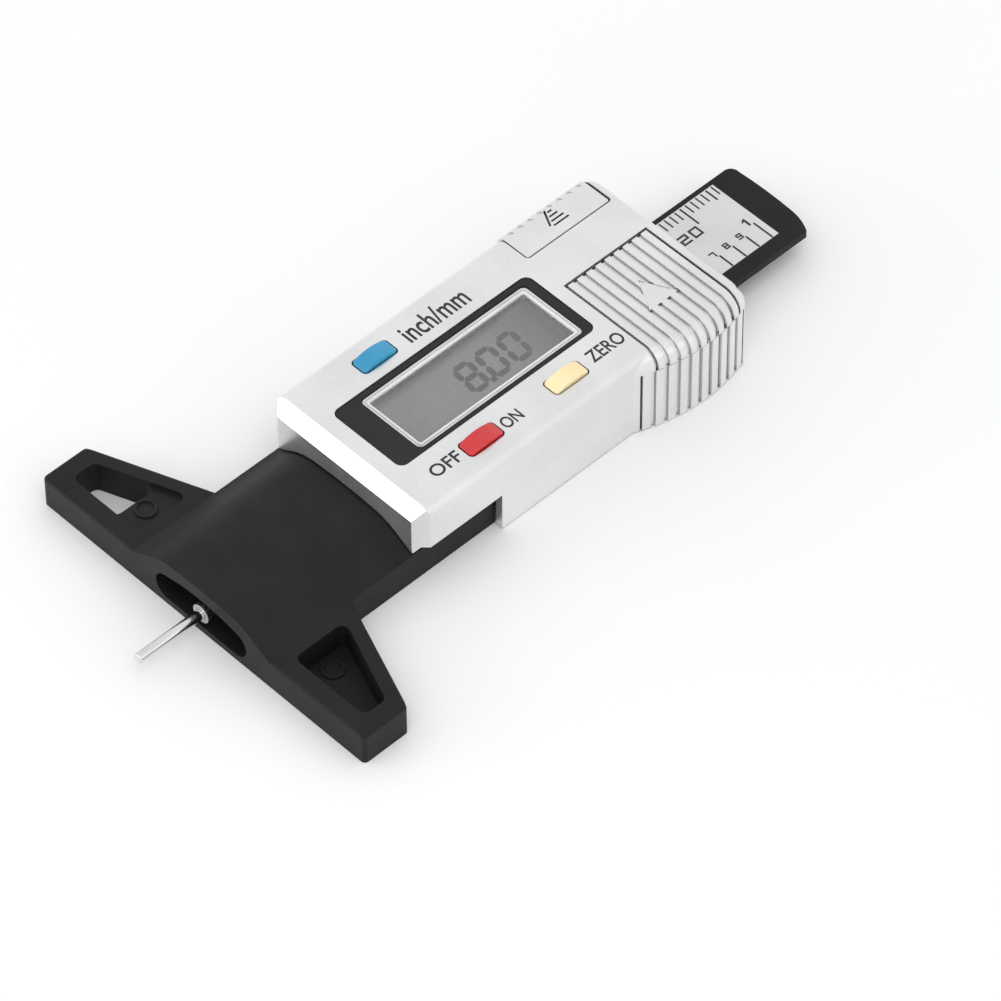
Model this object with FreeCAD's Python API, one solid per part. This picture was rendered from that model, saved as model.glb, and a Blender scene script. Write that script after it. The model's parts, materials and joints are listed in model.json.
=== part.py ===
"""Tire tread depth gauge with a digital slider.

A black T-shaped base, its stem and a flat beam are one moulding. A silver housing slides along
the beam and carries a steel probe, which comes out of the middle of the base's front face.
Lengths are in millimetres. +Z is up, away from the table that the gauge lies on. +Y runs from the
base's front face to the beam's far end, and +X is the battery side. While modelling, y = 0 is the
base's front face; every piece is moved at export, so that the origin is under the gauge's middle.
"""

import FreeCAD
import Part

import os

V = FreeCAD.Vector

# ---- driving dimensions: travel -------------------------------------------------------------
PROBE_OUT = 11.0  # how far the probe stands out as drawn
PROBE_MAX = 25.4  # the measuring range
STOP_GAP = 0.25  # play left at each end of the travel
FORWARD = PROBE_MAX - PROBE_OUT
BACK = PROBE_OUT

# ---- driving dimensions: base, stem and beam ------------------------------------------------
BASE_HALF = 31.0
WING_H = 5.2
WING_END_Y = 7.6
JUNCTION_Y = 14.7
STEM_HALF = 13.0
CROWN_H = 8.4
WING_STEP = 0.5  # the outer corner's small return behind each wing's end
BEAM_HALF = 7.9
BEAM_Z0 = 2.6
BEAM_Z1 = 5.0
BEAM_LIP = 1.3  # height of the beam's side faces, above their bevelled undersides
BEAM_END = 105.5
PROBE_Z = 3.5
PROBE_R = 0.75
PROBE_ROOM = 0.3
GROOVE_HALF = 2.2  # the slot under the beam for the probe's clamp
GROOVE_TOP = 4.35

# ---- driving dimensions: wing pockets and front mouth ---------------------------------------
POCKET_FRONT = 2.7
POCKET_IN = 15.0
POCKET_OUT = 28.0
HOLE_IN = 19.5
STEP_DEEP = 0.75
WELL_FLOOR = 0.9
RING_R = 1.65
RING_WALL = 0.45
RING_H = 0.25
RINGS = [(-17.75, 6.4, WING_H - STEP_DEEP), (17.2, 7.3, WELL_FLOOR)]
MOUTH_HALF = 8.7
MOUTH_LOW = 1.1
MOUTH_HIGH = 6.35
MOUTH_WIDEST_Z = 3.2
MOUTH_DEEP = 9.0
POST_SET = 3.2
BUSH_POST = 1.75
BUSH_R = 1.15
BUSH_RIM = 1.45
BUSH_RIM_T = 0.6
BUSH_LEN = 6.0

# ---- driving dimensions: housing ------------------------------------------------------------
HALF = 14.55
FRONT = 25.6
REAR = 85.0
TOP = 14.05
WALL = 1.25
ROOF = 1.5
IN_HALF = HALF - WALL
IN_TOP = TOP - ROOF
FLOOR_FRONT = FRONT + 29.4
FLOOR_H = 1.6
STEM_END = FLOOR_FRONT - FORWARD - STOP_GAP
NOTCH_H = 6.65
NOTCH_LEN = JUNCTION_Y
BEVEL_Z = 11.6  # the front bevel's lower edge
BEVEL_RUN = 1.55  # how far back the bevel reaches the top
CORNER_X = 1.75  # the cut front corners
CORNER_Y = 1.8
LEFT_ROUND = 2.1
RIGHT_ROUND = 1.1
REAR_ROUND = 2.2
ARCH_GAP = 0.3
FIT = 0.08
SEAT_GAP = 0.05
BEAM_GAP = 0.35

# ---- driving dimensions: battery bay and grips ----------------------------------------------
BULGE_Y0 = 64.4
BULGE_X = 17.05
BULGE_ROUND = 2.8
BAY_X0 = -1.4
BAY_Y0 = 67.45
BAY_Y1 = 82.75
SKIRT_Z = 11.0
COVER_T = 1.35
COVER_GAP = 0.4  # the cover's finger gap along its left edge
RIB_PITCH = 1.7
SIDE_PITCH = 1.84  # the flank's ribs are a little wider than the cover's
GROOVE_DEEP = 0.45
GROOVE_W = 0.68
GRIP = (-12.3, -8.55, 67.3, 83.15)
GRIP_PITCH = 1.81
GRIP_DEEP = 0.18
GRIP_OUT = 0.3  # how far the left grip stands out from the flank
GRIP_ROUND = 1.6
LINE_W = 0.3  # outlines and arrow strokes
LINE_DEEP = 0.6
ARROW_Y = 75.7
ARROW_BARS = [(-13.05, 0.4), (-12.28, 0.75), (-11.5, 1.15), (-10.72, 1.4)]  # place, half length
ARROW_STROKE = [(-13.6, 75.2), (-10.95, 73.85)]
PAD = [(4.4, 75.2), (9.3, 72.6), (9.3, 77.8)]  # the smooth triangle on the battery cover
PAD_DROP = 0.12
CELL_R = 5.8
CELL_H = 5.4
CELL_X = 7.2
CELL_Y = 0.5 * (BAY_Y0 + BAY_Y1)
CELL_Z = 6.95
CELL_ROOM = 0.12
TRAY_FLOOR = 6.15
TRAY_R = 6.75
CONTACT_T = 0.2

# ---- driving dimensions: display and keys ---------------------------------------------------
FRAME_HALF = 6.68
FRAME_Y0 = 29.7
FRAME_Y1 = 65.25
FRAME_TOP = 13.92
BEZEL_HALF = 5.87
BEZEL_Y0 = 33.85
BEZEL_Y1 = 63.95
BEZEL_RIM = 0.95
BEZEL_TOP = 13.6
BEZEL_LINE = 0.24  # the fine groove round the middle of the bezel's rim
FRAME_Z0 = 13.0
FRAME_ROUND = 1.2
BEZEL_ROUND = 0.85
PANE_ROUND = 0.3
KEY_W = 2.7
KEY_L = 5.9
KEY_TOP = 14.85
KEY_ARCH_R = 7.2
KEY_CORNER = 0.5
KEY_EDGE = 0.22
KEY_GAP = 0.2
KEY_TRAVEL = 0.5
KEYS = {"unit_key": (-9.95, 40.6), "power_key": (10.35, 40.6), "zero_key": (10.3, 56.1)}
BOARD_Z0 = 9.1
BOARD_Z1 = 9.9
LCD_Z0 = 10.95
LCD_Z1 = 12.4
SENSE_Z0 = 5.15
SENSE_Z1 = 5.95
HEADER_Y = 63.2
HEADER_X = (-5.0, -2.5, 0.0, 2.5, 5.0)
HEADER_R = 0.25
DOME_H = 0.45
BOARD_SCREWS = [(-11.2, 32.2), (11.2, 32.2), (-11.2, 63.6), (11.2, 63.6)]

# ---- driving dimensions: scale, guides, clamp and end stop ----------------------------------
STRIP = (-7.1, 5.57, STEM_END + 2.0, 101.0)
STRIP_Z = 4.65
STRIP_T = 0.25
LABEL_T = 0.12
CLAMP_Y0 = FLOOR_FRONT + 0.6
CLAMP_Y1 = CLAMP_Y0 + 5.4
CLAMP_Y = 0.5 * (CLAMP_Y0 + CLAMP_Y1)
PROBE_BACK = CLAMP_Y1 - 0.6
STOP_Y0 = REAR + BACK + STOP_GAP
STOP_Y1 = STOP_Y0 + 6.0
STOP_Y = 0.5 * (STOP_Y0 + STOP_Y1)
STOP_SCREWS_X = (-4.0, 4.0)
STOP_T = 1.0
STOP_PILOT = 0.5
RAIL_TOP = SENSE_Z0
RAIL_IN = BEAM_HALF + 0.1
RAIL_OUT = 9.3
GIB_ROOM = 0.35
FLOOR_SCREWS = [(-11.6, 58.0), (11.6, 58.0), (-11.6, 80.8), (11.6, 80.8)]
FLOOR_BOSS_TOP = 6.0

MID_Y = 0.5 * (BEAM_END - PROBE_OUT)
BIG = 150.0


# ---- shape helpers --------------------------------------------------------------------------
def box(x0, x1, y0, y1, z0, z1):
    return Part.makeBox(x1 - x0, y1 - y0, z1 - z0, V(x0, y0, z0))


def disc(x, y, z0, z1, r):
    return Part.makeCylinder(r, z1 - z0, V(x, y, z0))


def rod(x, z, y0, y1, r):
    return Part.makeCylinder(r, y1 - y0, V(x, y0, z), V(0, 1, 0))


def prism(points, z0, z1):
    """A polygon in plan, extruded from z0 to z1."""
    corners = [V(x, y, z0) for x, y in points]
    return Part.Face(Part.makePolygon(corners + corners[:1])).extrude(V(0, 0, z1 - z0))


def plan(edges, z0, z1):
    """A closed outline of edges in the plane z = 0, extruded upwards."""
    solid = Part.Face(Part.Wire(Part.__sortEdges__(edges))).extrude(V(0, 0, z1 - z0))
    solid.translate(V(0, 0, z0))
    return solid


def flat_arc(start, middle, end):
    return Part.Arc(V(*start, 0), V(*middle, 0), V(*end, 0)).toShape()


def flat_line(start, end):
    return Part.makeLine(V(*start, 0), V(*end, 0))


def section(edges, y0, y1):
    """A closed outline of edges in the plane y = 0, extruded along the gauge."""
    face = Part.Face(Part.Wire(Part.__sortEdges__(edges)))
    solid = face.extrude(V(0, y1 - y0, 0))
    solid.translate(V(0, y0, 0))
    return solid


def line(x0, z0, x1, z1):
    return Part.makeLine(V(x0, 0, z0), V(x1, 0, z1))


def joined(first, *others):
    return first.fuse(list(others)).removeSplitter()


def minus(first, *others):
    return first.cut(list(others))


def is_upright(edge):
    ends = [v.Point for v in edge.Vertexes]
    if len(ends) != 2:
        return False
    along = ends[0] - ends[1]
    return abs(along.z) > 0.3 and along.cross(V(0, 0, 1)).Length < 1e-6


def rounded(shape, radius, wanted):
    """Rounds the edges for which wanted(edge) is true."""
    edges = [e for e in shape.Edges if wanted(e)]
    return shape.makeFillet(radius, edges)


def soft_box(x0, x1, y0, y1, z0, z1, radius):
    """A box whose upright edges are rounded."""
    return rounded(box(x0, x1, y0, y1, z0, z1), radius, is_upright)


def at_height(z):
    """A test for edges that lie at one height."""

    def test(edge):
        level = all(abs(v.Z - z) < 1e-4 for v in edge.Vertexes)
        return level and abs(edge.BoundBox.ZMax - z) < 1e-3

    return test


# ---- base, stem and beam --------------------------------------------------------------------
def crown_edges(lift):
    """The stem's crowned section: flat sides, then an S-shaped rise to a gentle crown."""
    half = STEM_HALF
    side = WING_H + lift
    rise = [(12.4, 0.2), (9.9, 1.65), (7.2, 2.75), (3.8, 3.1)]
    right = [V(half, 0, side)] + [V(x, 0, side + h) for x, h in rise]
    left = [V(-p.x, 0, p.z) for p in reversed(right)]
    curve = Part.BSplineCurve()
    curve.interpolate(right + [V(0, 0, CROWN_H + lift)] + left)
    return curve.toShape()


def stem():
    bottom = line(-STEM_HALF, 0, STEM_HALF, 0)
    right = line(STEM_HALF, 0, STEM_HALF, WING_H)
    left = line(-STEM_HALF, 0, -STEM_HALF, WING_H)
    return section([bottom, right, crown_edges(0.0), left], 0.0, STEM_END)


def wings():
    half_outline = [
        (BASE_HALF, 0),
        (BASE_HALF, WING_END_Y),
        (BASE_HALF - 2.0 * WING_STEP, WING_END_Y + WING_STEP),
        (STEM_HALF, JUNCTION_Y),
    ]
    mirrored = [(-x, y) for x, y in reversed(half_outline)]
    plate = prism(half_outline + mirrored, 0, WING_H)

    def outer_corner(edge):
        return is_upright(edge) and abs(edge.Vertexes[0].X) > BASE_HALF - 2.0

    def rim(edge):
        return at_height(WING_H)(edge) and abs(edge.BoundBox.Center.y - JUNCTION_Y) > 0.5

    return rounded(rounded(plate, 0.7, outer_corner), 0.5, rim)


def wing_pocket(side, x_in, x_out, z0):
    """A four-sided pocket that keeps the wing's outline, between two distances from the middle."""
    slope = (JUNCTION_Y - WING_END_Y) / (BASE_HALF - STEM_HALF)
    corner_x, corner_y, corner_round = 28.1, 6.5, 1.1

    def rear(x):
        return corner_y + (corner_x - x) * slope

    outline = [
        (side * x_in, POCKET_FRONT),
        (side * x_out, POCKET_FRONT),
        (side * x_out, rear(x_out)),
        (side * x_in, rear(x_in)),
    ]
    return rounded(prism(outline, z0, WING_H + 1.0), corner_round, is_upright)


def front_mouth():
    """The low arched mouth in the front face; a post set back in its middle holds the bush."""
    shoulder = (MOUTH_HALF - 1.5, MOUTH_HIGH - 0.95)
    heel = (MOUTH_HALF - 1.9, MOUTH_LOW)

    def side_arc(side):
        ends = [V(side * x, 0, z) for x, z in (shoulder, (MOUTH_HALF, MOUTH_WIDEST_Z), heel)]
        return Part.Arc(*ends).toShape()

    crown = Part.Arc(V(-shoulder[0], 0, shoulder[1]), V(0, 0, MOUTH_HIGH), V(shoulder[0], 0, shoulder[1]))
    bottom = line(-heel[0], MOUTH_LOW, heel[0], MOUTH_LOW)
    post = box(-BUSH_POST, BUSH_POST, POST_SET, MOUTH_DEEP + 1.0, 0, MOUTH_HIGH + 1.0)
    edges = [crown.toShape(), side_arc(1), bottom, side_arc(-1)]
    return section(edges, -1.0, MOUTH_DEEP).cut(post)


def bush_form(front):
    """The bush's outside: a thin rim in the front face and a sleeve behind it."""
    return joined(rod(0, PROBE_Z, front, BUSH_LEN, BUSH_R), rod(0, PROBE_Z, front, BUSH_RIM_T, BUSH_RIM))


def beam_outline():
    """The beam in plan: a gently bowed end, a small left corner and a long right one."""
    front = STEM_END - 2.0
    left_start = (-BEAM_HALF, BEAM_END - 1.4)
    left_end = (1.5 - BEAM_HALF, BEAM_END - 0.15)
    right_start = (4.0, BEAM_END - 0.2)
    right_end = (BEAM_HALF, BEAM_END - 1.45)
    return [
        flat_line((-BEAM_HALF, front), left_start),
        flat_arc(left_start, (0.4 - BEAM_HALF, BEAM_END - 0.5), left_end),
        flat_arc(left_end, (-1.2, BEAM_END), right_start),
        flat_arc(right_start, (6.2, BEAM_END - 0.65), right_end),
        flat_line(right_end, (BEAM_HALF, front)),
        flat_line((BEAM_HALF, front), (-BEAM_HALF, front)),
    ]


def beam():
    bar = plan(beam_outline(), BEAM_Z0, BEAM_Z1)
    drop = BEAM_Z1 - BEAM_LIP - BEAM_Z0
    bevels = []
    for side in (-1, 1):
        edge = side * (BEAM_HALF + 0.1)
        bevel = [
            line(side * (BEAM_HALF - drop), BEAM_Z0, edge, BEAM_Z0),
            line(edge, BEAM_Z0, edge, BEAM_Z0 + drop + 0.1),
            line(edge, BEAM_Z0 + drop + 0.1, side * (BEAM_HALF - drop), BEAM_Z0),
        ]
        bevels.append(section(bevel, STEM_END, BEAM_END + 1.0))
    groove = box(-GROOVE_HALF, GROOVE_HALF, STEM_END, CLAMP_Y1 + BACK + 0.6, BEAM_Z0 - 1.0, GROOVE_TOP)
    return minus(bar, groove, *bevels)


def ring_mark(x, y, z):
    """A low ring left by the mould, standing on a pocket's floor."""
    outer = disc(x, y, z - 0.1, z + RING_H, RING_R)
    return minus(outer, disc(x, y, z, z + 1.0, RING_R - RING_WALL))


def base_beam():
    body = joined(wings(), stem(), beam())
    x0, x1, y0, y1 = STRIP
    gap = SEAT_GAP
    cuts = [
        wing_pocket(-1, HOLE_IN, POCKET_OUT, -1.0),
        wing_pocket(-1, POCKET_IN, POCKET_OUT, WING_H - STEP_DEEP),
        wing_pocket(1, POCKET_IN, POCKET_OUT + 0.2, WELL_FLOOR),
        front_mouth(),
        rod(0, PROBE_Z, 0.0, STEM_END + 1.0, PROBE_R + PROBE_ROOM),
        bush_form(-1.0),
        box(x0 - gap, x1 + gap, y0 - gap, y1 + gap, STRIP_Z, BEAM_Z1 + 1.0),
    ]
    cuts += [disc(x, STOP_Y, BEAM_Z0 - 1.0, STRIP_Z - 0.2, STOP_PILOT) for x in STOP_SCREWS_X]
    return joined(minus(body, *cuts), *[ring_mark(*place) for place in RINGS])


def stator_strip():
    x0, x1, y0, y1 = STRIP
    return box(x0, x1, y0, y1, STRIP_Z, STRIP_Z + STRIP_T)


def scale_label():
    x0, x1, y0, y1 = STRIP
    z0 = STRIP_Z + STRIP_T
    return box(x0, x1, y0, y1, z0, z0 + LABEL_T)


def probe_bush():
    return minus(bush_form(0.0), rod(0, PROBE_Z, -1.0, BUSH_LEN + 1.0, PROBE_R + 0.05))


def end_stop():
    half = STOP_SCREWS_X[1] + 1.8
    plate = soft_box(-half, half, STOP_Y0, STOP_Y1, BEAM_Z0 - STOP_T, BEAM_Z0, 0.8)
    return minus(plate, *[disc(x, STOP_Y, 0, BEAM_Z0 + 1.0, STOP_PILOT) for x in STOP_SCREWS_X])


def pan_screw(x, y, z, length, head_r, head_h, shank_r):
    """A cross-head screw that enters upwards at z, with its head below."""
    head = disc(x, y, z - head_h, z, head_r)
    head = rounded(head, 0.4 * head_h, at_height(z - head_h))
    arm, blade = 0.6 * head_r, 0.16
    low, high = z - head_h - 1.0, z - 0.5 * head_h
    slots = [
        box(x - arm, x + arm, y - blade, y + blade, low, high),
        box(x - blade, x + blade, y - arm, y + arm, low, high),
    ]
    return minus(joined(head, disc(x, y, z, z + length, shank_r)), *slots)


def end_stop_screws():
    z = BEAM_Z0 - STOP_T
    screws = [pan_screw(x, STOP_Y, z, 2.4, 1.15, 0.6, STOP_PILOT) for x in STOP_SCREWS_X]
    return Part.makeCompound(screws)


# ---- housing: outer form --------------------------------------------------------------------
def bulge_edge(inset):
    """The battery side's curved edge in plan, as an arc's two ends and middle."""
    return (HALF - inset, BULGE_Y0), (BULGE_X - inset, 75.2), (15.5 - inset, REAR - inset)


def bulge(inset):
    """The battery side's swelling, a little smaller all round by inset."""
    start, middle, end = bulge_edge(inset)
    inner_front, inner_back = (0, start[1]), (0, end[1])
    edges = [
        flat_arc(start, middle, end),
        flat_line(end, inner_back),
        flat_line(inner_back, inner_front),
        flat_line(inner_front, start),
    ]
    solid = plan(edges, 0, TOP - inset)

    def rear_corner(edge):
        return is_upright(edge) and edge.Vertexes[0].X > 10.0 and edge.Vertexes[0].Y > 80.0

    def outer_rim(edge):
        outside = edge.BoundBox.XMin > 13.0 - inset or edge.BoundBox.YMin > 80.0
        return at_height(TOP - inset)(edge) and outside

    solid = rounded(solid, 2.2, rear_corner)
    return rounded(solid, BULGE_ROUND - inset, outer_rim)


def front_bevel():
    """What the sloping face cuts off above the housing's front wall."""
    slope = (TOP - BEVEL_Z) / BEVEL_RUN
    profile = [
        (FRONT - 1, BEVEL_Z - slope),
        (FRONT + BEVEL_RUN + 1, TOP + slope),
        (FRONT - 1, TOP + slope),
    ]
    corners = [V(-BIG, y, z) for y, z in profile]
    return Part.Face(Part.makePolygon(corners + corners[:1])).extrude(V(2 * BIG, 0, 0))


def main_block(inset):
    """The housing's straight part: bevelled front, cut front corners, soft top edges."""
    half, top = HALF - inset, TOP - inset
    block = minus(box(-half, half, FRONT, REAR - inset, 0, top), front_bevel())
    for side in (-1, 1):
        inner = (side * (HALF - CORNER_X), FRONT)
        outer = (side * HALF, FRONT + CORNER_Y)
        ahead = (inner[0] - 0.2 * (outer[0] - inner[0]), inner[1] - 0.2 * CORNER_Y)
        behind = (outer[0] + 0.2 * (outer[0] - inner[0]), outer[1] + 0.2 * CORNER_Y)
        block = minus(block, prism([ahead, behind, (side * (HALF + 1), FRONT - 1)], -1, TOP + 1))

    def top_side(side):
        def test(edge):
            span = edge.BoundBox
            return at_height(top)(edge) and span.XMin * side > 0 and span.XLength < 0.01

        return test

    def top_rear(edge):
        return at_height(top)(edge) and edge.BoundBox.YMin > REAR - inset - 0.01

    block = rounded(block, RIGHT_ROUND, top_side(1))
    block = rounded(block, LEFT_ROUND, top_side(-1))
    return rounded(block, REAR_ROUND, top_rear)


def outer_form(inset=0.0):
    return joined(main_block(inset), bulge(inset))


def rib_slabs(y0, y1, wanted_pitch, x0, x1):
    """Upright slabs across the gauge, one for each finger rib between y0 and y1."""
    count = int(round((y1 - y0) / wanted_pitch))
    pitch = (y1 - y0) / count
    width = pitch - GROOVE_W
    slabs = []
    for i in range(count):
        mid = y0 + (i + 0.5) * pitch
        slabs.append(box(x0, x1, mid - 0.5 * width, mid + 0.5 * width, -2.0, BIG))
    return slabs


# ---- housing: covers ------------------------------------------------------------------------
def cavity():
    """The hollow between the walls, above the floor plate and open below the stem."""
    return box(-IN_HALF, IN_HALF, FRONT + 1.5, REAR - 1.5, -1.0, IN_TOP)


def arch():
    """The way for the stem through the front wall."""
    half = STEM_HALF + ARCH_GAP
    side_top = WING_H + ARCH_GAP
    edges = [line(-half, -1.0, half, -1.0), crown_edges(ARCH_GAP)]
    for side in (-1, 1):
        edges.append(line(side * half, -1.0, side * half, side_top))
        edges.append(line(side * half, side_top, side * STEM_HALF, side_top))
    return section(edges, FRONT - 1.0, FRONT + 1.6)


def bay_space(gap):
    """Where the battery cover lies: the roof and the bulge's top, one cover thickness deep."""
    below = box(BAY_X0 - 2, HALF - 1.0, BAY_Y0 - 2, BAY_Y1 + 2, -1, TOP - COVER_T - gap)
    shell = minus(outer_form(), bulge(COVER_T + gap), below)
    left = BAY_X0 - COVER_GAP * gap / FIT
    return shell.common(box(left, BIG, BAY_Y0 - gap, BAY_Y1 + gap, SKIRT_Z - gap, BIG))


def key_form(name, grow, z0, z1):
    x, y = KEYS[name]
    half_w, half_l = 0.5 * KEY_W + grow, 0.5 * KEY_L + grow
    return soft_box(x - half_w, x + half_w, y - half_l, y + half_l, z0, z1, KEY_CORNER + grow)


def side_ribs(body):
    """Cuts the finger ribs' grooves into the battery side's flank."""
    y0, y1 = BULGE_Y0 + 0.9, REAR - 1.2
    zone = box(13.4, BIG, y0, y1, -1.0, SKIRT_Z - FIT)
    return minus(body, minus(zone, bulge(GROOVE_DEEP), *rib_slabs(y0, y1, SIDE_PITCH, 0, BIG)))


def grip_pad():
    """The left flank's ribbed pad, whose grooves run out on the top's edge."""
    x0, x1, y0, y1 = GRIP
    out = -HALF - GRIP_OUT
    top = TOP - GRIP_DEEP
    pad = box(out, x0, y0, y1, 0.6, top)
    pad = rounded(pad, GRIP_ROUND, lambda e: at_height(top)(e) and e.BoundBox.XMax < out + 0.01)
    pad = rounded(pad, 0.25, lambda e: is_upright(e) and e.BoundBox.XMax < out + 0.01)
    core = main_block(0.5 * GRIP_OUT)
    last = y0 + 9 * GRIP_PITCH
    grooves = minus(box(-BIG, x0, y0, y1, -1.0, BIG), core, *rib_slabs(y0, last, GRIP_PITCH, -BIG, 0))
    return minus(pad, grooves)


def grip_marks():
    """The left grip's seat, the line round it and its direction mark, all cut into the top."""
    x0, x1, y0, y1 = GRIP
    seat_z = TOP - GRIP_DEEP
    cut_z = seat_z - LINE_DEEP
    corner = 0.6
    far = -HALF - 2.0
    cuts = [soft_box(far, x1, y0, y1, seat_z, TOP + 1, corner)]
    inner = soft_box(far, x1 - LINE_W, y0 + LINE_W, y1 - LINE_W, cut_z - 1, TOP, corner - LINE_W)
    outer = soft_box(far, x1, y0, y1, cut_z, TOP, corner).common(box(-HALF, x1, y0, y1, cut_z, TOP))
    cuts.append(minus(outer, inner))
    for x, half in ARROW_BARS:
        cuts.append(box(x - 0.5 * LINE_W, x + 0.5 * LINE_W, ARROW_Y - half, ARROW_Y + half, cut_z, TOP))
    (xa, ya), (xb, yb) = ARROW_STROKE
    half = 0.6 * LINE_W
    cuts.append(prism([(xa, ya - half), (xb, yb - half), (xb, yb + half), (xa, ya + half)], cut_z, TOP))
    return cuts


def cover_openings():
    """Everything cut right through the housing's walls and roof."""
    gap = SEAT_GAP
    notches = []
    for side in (-1, 1):
        x = side * HALF
        notches.append(box(x - 1.6, x + 1.6, FRONT - 1, FRONT + NOTCH_LEN, -1.0, NOTCH_H))
    half = BEAM_HALF + BEAM_GAP
    return notches + [
        soft_box(
            -FRAME_HALF - gap, FRAME_HALF + gap, FRAME_Y0 - gap, FRAME_Y1 + gap,
            FRAME_Z0, TOP + 1, FRAME_ROUND + gap,
        ),
        box(-BEZEL_HALF, BEZEL_HALF, BEZEL_Y0, BEZEL_Y1, IN_TOP - 1, TOP + 1),
        box(BAY_X0 - 0.2, IN_HALF, BAY_Y0 - FIT, BAY_Y1 + FIT, IN_TOP - 0.5, TOP - 0.5),
        box(-half, half, REAR - 2, REAR + 1, BEAM_Z0 - BEAM_GAP, BEAM_Z1 + BEAM_GAP),
        *[key_form(name, KEY_GAP, IN_TOP - 1, TOP + 1) for name in KEYS],
    ]


def front_cover():
    body = joined(side_ribs(outer_form()), grip_pad())
    body = minus(body, cavity(), arch(), bay_space(FIT), *cover_openings(), *grip_marks())
    bosses = [disc(x, y, BOARD_Z1, IN_TOP + 0.2, 1.5) for x, y in BOARD_SCREWS]
    bosses += [disc(x, y, FLOOR_H, FLOOR_BOSS_TOP, 1.75) for x, y in FLOOR_SCREWS]
    pilots = [disc(x, y, BOARD_Z1 - 0.5, 11.9, 0.55) for x, y in BOARD_SCREWS]
    pilots += [disc(x, y, 0.0, FLOOR_BOSS_TOP - 0.4, 0.7) for x, y in FLOOR_SCREWS]
    return minus(joined(body, *bosses), *pilots)


def back_cover():
    half, rear = IN_HALF - 0.05, REAR - 1.55
    plate = box(-half, half, FLOOR_FRONT, rear, 0, FLOOR_H)
    y0, y1 = FLOOR_FRONT + 0.5, REAR - 2.0
    rails = [
        box(RAIL_IN, RAIL_OUT, y0, y1, FLOOR_H, RAIL_TOP),
        box(-RAIL_OUT, -RAIL_IN - GIB_ROOM, y0, y1, FLOOR_H, RAIL_TOP),
    ]
    cuts = [disc(0, CLAMP_Y, -1, 0.9, 1.45), disc(0, CLAMP_Y, -1, 3, 0.65)]
    for x, y in FLOOR_SCREWS:
        cuts += [disc(x, y, -1, 1.0, 1.7), disc(x, y, -1, 3, 0.8)]
    cuts.append(soft_box(-8.0, 8.0, 64.0, 79.0, -1.0, 0.15, 1.0))
    return minus(joined(plate, *rails), *cuts)


def back_cover_screws():
    return Part.makeCompound([pan_screw(x, y, 1.0, 4.0, 1.55, 0.75, 0.65) for x, y in FLOOR_SCREWS])


def slide_shoes():
    """Two low pads that the beam runs on."""
    y0, y1 = FLOOR_FRONT + 2.0, REAR - 3.0
    inner, outer = 4.0, 6.6
    top = BEAM_Z0 - 0.05
    left = soft_box(-outer, -inner, y0, y1, FLOOR_H, top, 0.6)
    right = soft_box(inner, outer, y0, y1, FLOOR_H, top, 0.6)
    return Part.makeCompound([left, right])


def gib_spring():
    """A shallow bowed leaf between the left rail and the beam, touching neither side's face."""
    y0, y1 = FLOOR_FRONT + 4.0, REAR - 5.0
    mid = 0.5 * (y0 + y1)
    outer, inner, leaf = -RAIL_IN - GIB_ROOM + 0.13, -BEAM_HALF - 0.05, 0.12
    edges = [
        flat_arc((outer, y0), (inner, mid), (outer, y1)),
        flat_arc((outer - leaf, y0), (inner - leaf, mid), (outer - leaf, y1)),
        flat_line((outer, y0), (outer - leaf, y0)),
        flat_line((outer, y1), (outer - leaf, y1)),
    ]
    return plan(edges, BEAM_Z0 + 0.2, BEAM_Z1 - 0.3)


# ---- probe ----------------------------------------------------------------------------------
def probe_pin():
    pin = rod(0, PROBE_Z, -PROBE_OUT, PROBE_BACK, PROBE_R)
    return rounded(pin, 0.12, lambda e: e.BoundBox.YMax < -PROBE_OUT + 0.01)


def probe_clamp():
    half = GROOVE_HALF - 0.35
    block = soft_box(-half, half, CLAMP_Y0, CLAMP_Y1, FLOOR_H, GROOVE_TOP - 0.07, 0.5)
    pin_way = rod(0, PROBE_Z, CLAMP_Y0 - 1, PROBE_BACK, PROBE_R)
    return minus(block, pin_way, disc(0, CLAMP_Y, 0, PROBE_Z - PROBE_R, 0.6))


def probe_screw():
    """The clamp's screw, sunk into the floor plate from below."""
    seat = 0.9
    return pan_screw(0, CLAMP_Y, seat, PROBE_Z - PROBE_R - seat, 1.35, 0.6, 0.58)


# ---- display --------------------------------------------------------------------------------
def display_frame():
    plate = soft_box(-FRAME_HALF, FRAME_HALF, FRAME_Y0, FRAME_Y1, FRAME_Z0, FRAME_TOP, FRAME_ROUND)
    plate = rounded(plate, 0.18, at_height(FRAME_TOP))
    return minus(plate, pane(0.0, 0, BIG, BEZEL_ROUND + SEAT_GAP))


def pane(inset, z0, z1, radius):
    """The bezel's outline in plan, moved in by inset, as a soft-cornered block."""
    half = BEZEL_HALF - inset
    return soft_box(-half, half, BEZEL_Y0 + inset, BEZEL_Y1 - inset, z0, z1, radius)


def display_bezel():
    """A rim with rounded edges and a fine groove round its middle."""
    outer = pane(SEAT_GAP, LCD_Z1, BEZEL_TOP, BEZEL_ROUND)
    ring = minus(outer, pane(BEZEL_RIM, 0, BIG, PANE_ROUND))
    ring = rounded(ring, 0.12, at_height(BEZEL_TOP))
    line_out = 0.5 * (BEZEL_RIM - BEZEL_LINE)
    line_in = line_out + BEZEL_LINE
    low, high = BEZEL_TOP - BEZEL_LINE, BEZEL_TOP + 1
    groove = minus(pane(line_out, low, high, 0.6), pane(line_in, low - 1, high + 1, 0.4))
    return minus(ring, groove)


def display_window():
    return pane(BEZEL_RIM + SEAT_GAP, LCD_Z1 + 0.1, BEZEL_TOP - 0.35, PANE_ROUND - SEAT_GAP)


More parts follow.
